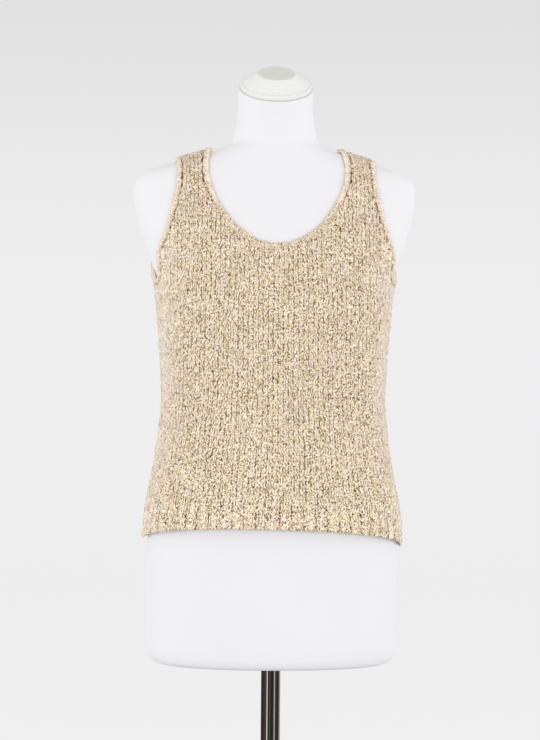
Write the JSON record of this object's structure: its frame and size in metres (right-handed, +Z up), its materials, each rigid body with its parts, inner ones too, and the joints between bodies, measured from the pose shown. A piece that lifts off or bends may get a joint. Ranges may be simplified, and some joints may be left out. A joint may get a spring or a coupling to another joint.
{
  "type": "boucle knit top on a limbless dress form",
  "caption": "Sleeveless scoop-neck boucle knit top with ribbed hem, worn by a jersey-covered limbless dress form on a short pole and round base.",
  "frame": {"origin": "centre of the underside of the round base plate, on the floor", "axes": "+Z up the pole to the neck cap, -Y out of the front of the garment, +X to the right of somebody looking at the front (the wearer's left)"},
  "size_m": [0.3952, 0.32, 1.1311],
  "materials": {
    "boucle_knit": "matte looped boucle stocking stitch, beige and cream",
    "boucle_rib": "matte looped boucle rib, beige and cream",
    "boucle_band": "matte looped boucle band, beige and cream",
    "form_jersey": "fine white stretch jersey",
    "cap_ivory": "satin ivory",
    "pole_chrome": "polished",
    "base_steel": "satin brushed"
  },
  "bodies": {
    "root": {"front_panel": "boucle_knit", "back_panel": "boucle_knit", "hem_rib_front": "boucle_rib", "hem_rib_back": "boucle_rib", "neckband": "boucle_band", "armhole_band_left": "boucle_band", "armhole_band_right": "boucle_band", "form_torso": "form_jersey", "neck_cap": "cap_ivory", "pole": "pole_chrome", "base_plate": "base_steel"}
  },
  "joints": []
}
